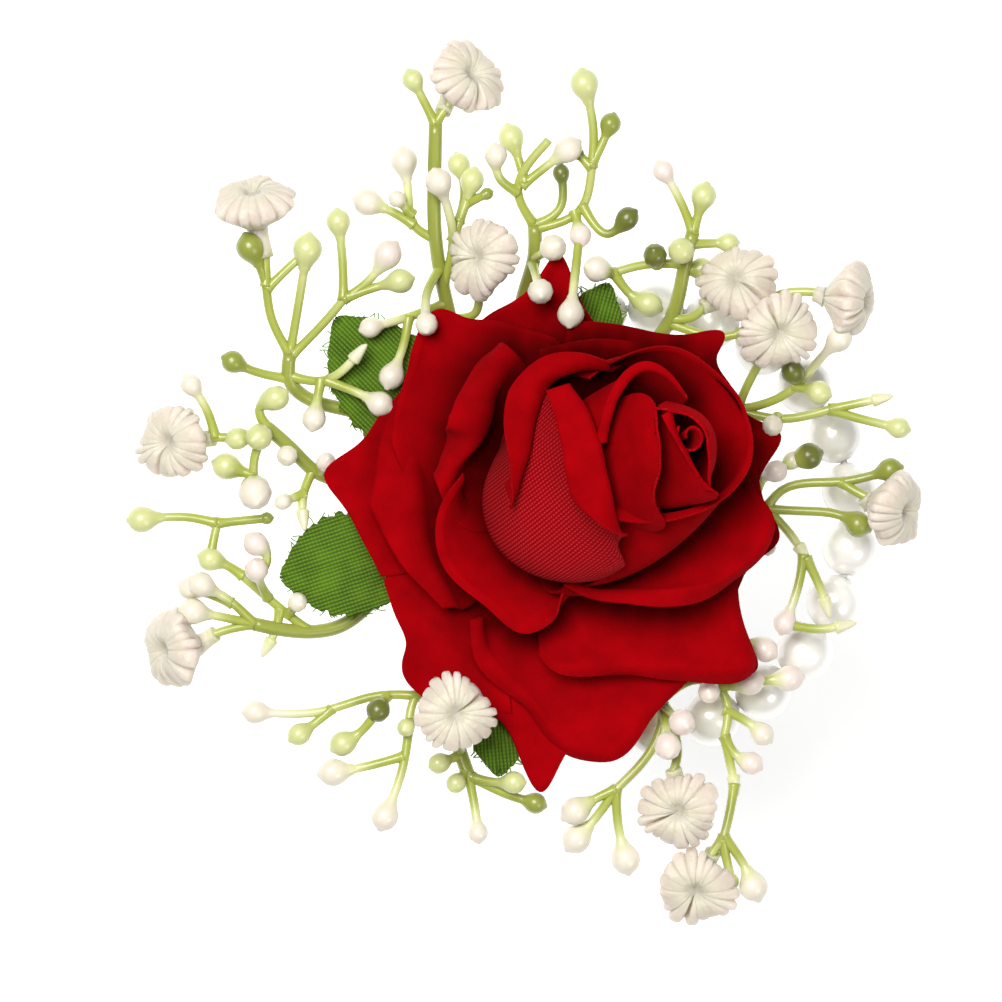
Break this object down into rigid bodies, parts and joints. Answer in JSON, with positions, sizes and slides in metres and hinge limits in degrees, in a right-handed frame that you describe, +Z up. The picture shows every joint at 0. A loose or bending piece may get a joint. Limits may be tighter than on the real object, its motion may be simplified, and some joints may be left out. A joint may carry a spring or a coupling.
{
  "type": "wrist corsage",
  "caption": "Wrist corsage: a leaning red flannel rose with cloth leaves and white plastic flower sprigs on a felt pad, tied to a stretch bracelet of faux pearls.",
  "frame": {"origin": "middle of the underside of the felt disc that rests on the wrist", "axes": "+Z up out of the pad towards the rose, +X across the pad towards the middle of the bracelet's ring, +Y along the elastic where it runs through the pad"},
  "size_m": [0.1119, 0.1222, 0.0469],
  "materials": {
    "felt": "matte wool felt",
    "hot_glue": "cloudy hot-melt glue",
    "green_plastic": "moulded polyethylene",
    "red_flannel": "velvet nap outside, woven back",
    "leaf_cloth": "stiff woven cloth",
    "sprig_plastic": "soft moulded plastic fading to cream at the buds",
    "head_plastic": "soft cream plastic",
    "elastic": "clear elastic cord",
    "pearl": "pearl lacquer"
  },
  "bodies": {
    "flower": {"felt_backing": "felt", "felt_top": "felt", "glue_puck": "hot_glue", "glue_mound": "hot_glue", "rose_core": "green_plastic", "calyx": "green_plastic", "rose_bud": "red_flannel", "rose_layer_1": "red_flannel", "rose_layer_2": "red_flannel", "rose_layer_3": "red_flannel", "rose_layer_4": "red_flannel", "rose_layer_5": "red_flannel", "leaf_nw": "leaf_cloth", "leaf_w": "leaf_cloth", "leaf_n": "leaf_cloth", "leaf_s": "leaf_cloth", "sprig_n": "sprig_plastic", "sprig_nne": "sprig_plastic", "sprig_ne": "sprig_plastic", "sprig_ene": "sprig_plastic", "sprig_e": "sprig_plastic", "sprig_se": "sprig_plastic", "sprig_s": "sprig_plastic", "sprig_w": "sprig_plastic", "sprig_wnw": "sprig_plastic", "sprig_nw": "sprig_plastic", "head_01": "head_plastic", "head_02": "head_plastic", "head_03": "head_plastic", "head_04": "head_plastic", "head_05": "head_plastic", "head_06": "head_plastic", "head_07": "head_plastic", "head_08": "head_plastic", "head_09": "head_plastic", "head_10": "head_plastic", "head_11": "head_plastic", "head_12": "head_plastic"},
    "bracelet": {"elastic_cord": "elastic"},
    "pearl_01": {"pearl_01": "pearl"},
    "pearl_02": {"pearl_02": "pearl"},
    "pearl_03": {"pearl_03": "pearl"},
    "pearl_04": {"pearl_04": "pearl"},
    "pearl_05": {"pearl_05": "pearl"},
    "pearl_06": {"pearl_06": "pearl"},
    "pearl_07": {"pearl_07": "pearl"},
    "pearl_08": {"pearl_08": "pearl"},
    "pearl_09": {"pearl_09": "pearl"},
    "pearl_10": {"pearl_10": "pearl"},
    "pearl_11": {"pearl_11": "pearl"},
    "pearl_12": {"pearl_12": "pearl"},
    "pearl_13": {"pearl_13": "pearl"},
    "pearl_14": {"pearl_14": "pearl"},
    "pearl_15": {"pearl_15": "pearl"},
    "pearl_16": {"pearl_16": "pearl"},
    "pearl_17": {"pearl_17": "pearl"},
    "pearl_18": {"pearl_18": "pearl"},
    "pearl_19": {"pearl_19": "pearl"},
    "pearl_20": {"pearl_20": "pearl"}
  },
  "joints": [
    {"name": "bracelet_swing", "type": "hinge", "parent": "flower", "child": "bracelet", "pos_m": [0, 0, 0.004], "axis": [0, 1, 0], "range_deg": [0, 120]},
    {"name": "pearl_01_stretch", "type": "slide", "parent": "bracelet", "child": "pearl_01", "axis": [0.122, -0.9925, 0], "range_m": [0, 0.0044]},
    {"name": "pearl_02_stretch", "type": "slide", "parent": "bracelet", "child": "pearl_02", "axis": [0.3072, -0.9516, 0], "range_m": [0, 0.00643]},
    {"name": "pearl_03_stretch", "type": "slide", "parent": "bracelet", "child": "pearl_03", "axis": [0.459, -0.8884, 0], "range_m": [0, 0.00834]},
    {"name": "pearl_04_stretch", "type": "slide", "parent": "bracelet", "child": "pearl_04", "axis": [0.5901, -0.8073, 0], "range_m": [0, 0.0101]},
    {"name": "pearl_05_stretch", "type": "slide", "parent": "bracelet", "child": "pearl_05", "axis": [0.7035, -0.7107, 0], "range_m": [0, 0.01168]},
    {"name": "pearl_06_stretch", "type": "slide", "parent": "bracelet", "child": "pearl_06", "axis": [0.7996, -0.6005, 0], "range_m": [0, 0.01304]},
    {"name": "pearl_07_stretch", "type": "slide", "parent": "bracelet", "child": "pearl_07", "axis": [0.8777, -0.4792, 0], "range_m": [0, 0.01417]},
    {"name": "pearl_08_stretch", "type": "slide", "parent": "bracelet", "child": "pearl_08", "axis": [0.9372, -0.3488, 0], "range_m": [0, 0.01503]},
    {"name": "pearl_09_stretch", "type": "slide", "parent": "bracelet", "child": "pearl_09", "axis": [0.9773, -0.2119, 0], "range_m": [0, 0.01561]},
    {"name": "pearl_10_stretch", "type": "slide", "parent": "bracelet", "child": "pearl_10", "axis": [0.9975, -0.0711, 0], "range_m": [0, 0.0159], "stiffness_N_per_m": 40, "deforming": ["elastic_cord"]},
    {"name": "pearl_11_stretch", "type": "slide", "parent": "bracelet", "child": "pearl_11", "axis": [0.9975, 0.0711, 0], "range_m": [0, 0.0159]},
    {"name": "pearl_12_stretch", "type": "slide", "parent": "bracelet", "child": "pearl_12", "axis": [0.9773, 0.2119, 0], "range_m": [0, 0.01561]},
    {"name": "pearl_13_stretch", "type": "slide", "parent": "bracelet", "child": "pearl_13", "axis": [0.9372, 0.3488, 0], "range_m": [0, 0.01503]},
    {"name": "pearl_14_stretch", "type": "slide", "parent": "bracelet", "child": "pearl_14", "axis": [0.8777, 0.4792, 0], "range_m": [0, 0.01417]},
    {"name": "pearl_15_stretch", "type": "slide", "parent": "bracelet", "child": "pearl_15", "axis": [0.7996, 0.6005, 0], "range_m": [0, 0.01304]},
    {"name": "pearl_16_stretch", "type": "slide", "parent": "bracelet", "child": "pearl_16", "axis": [0.7035, 0.7107, 0], "range_m": [0, 0.01168]},
    {"name": "pearl_17_stretch", "type": "slide", "parent": "bracelet", "child": "pearl_17", "axis": [0.5901, 0.8073, 0], "range_m": [0, 0.0101]},
    {"name": "pearl_18_stretch", "type": "slide", "parent": "bracelet", "child": "pearl_18", "axis": [0.459, 0.8884, 0], "range_m": [0, 0.00834]},
    {"name": "pearl_19_stretch", "type": "slide", "parent": "bracelet", "child": "pearl_19", "axis": [0.3072, 0.9516, 0], "range_m": [0, 0.00643]},
    {"name": "pearl_20_stretch", "type": "slide", "parent": "bracelet", "child": "pearl_20", "axis": [0.122, 0.9925, 0], "range_m": [0, 0.0044]}
  ],
  "couplings": [
    {"joint": "pearl_01_stretch", "follows": "pearl_10_stretch", "ratio": 0.27651},
    {"joint": "pearl_02_stretch", "follows": "pearl_10_stretch", "ratio": 0.40375},
    {"joint": "pearl_03_stretch", "follows": "pearl_10_stretch", "ratio": 0.52411},
    {"joint": "pearl_04_stretch", "follows": "pearl_10_stretch", "ratio": 0.63502},
    {"joint": "pearl_05_stretch", "follows": "pearl_10_stretch", "ratio": 0.7343},
    {"joint": "pearl_06_stretch", "follows": "pearl_10_stretch", "ratio": 0.82006},
    {"joint": "pearl_07_stretch", "follows": "pearl_10_stretch", "ratio": 0.89067},
    {"joint": "pearl_08_stretch", "follows": "pearl_10_stretch", "ratio": 0.94482},
    {"joint": "pearl_09_stretch", "follows": "pearl_10_stretch", "ratio": 0.98149},
    {"joint": "pearl_11_stretch", "follows": "pearl_10_stretch", "ratio": 1},
    {"joint": "pearl_12_stretch", "follows": "pearl_10_stretch", "ratio": 0.98149},
    {"joint": "pearl_13_stretch", "follows": "pearl_10_stretch", "ratio": 0.94482},
    {"joint": "pearl_14_stretch", "follows": "pearl_10_stretch", "ratio": 0.89067},
    {"joint": "pearl_15_stretch", "follows": "pearl_10_stretch", "ratio": 0.82006},
    {"joint": "pearl_16_stretch", "follows": "pearl_10_stretch", "ratio": 0.7343},
    {"joint": "pearl_17_stretch", "follows": "pearl_10_stretch", "ratio": 0.63502},
    {"joint": "pearl_18_stretch", "follows": "pearl_10_stretch", "ratio": 0.52411},
    {"joint": "pearl_19_stretch", "follows": "pearl_10_stretch", "ratio": 0.40375},
    {"joint": "pearl_20_stretch", "follows": "pearl_10_stretch", "ratio": 0.27651}
  ]
}
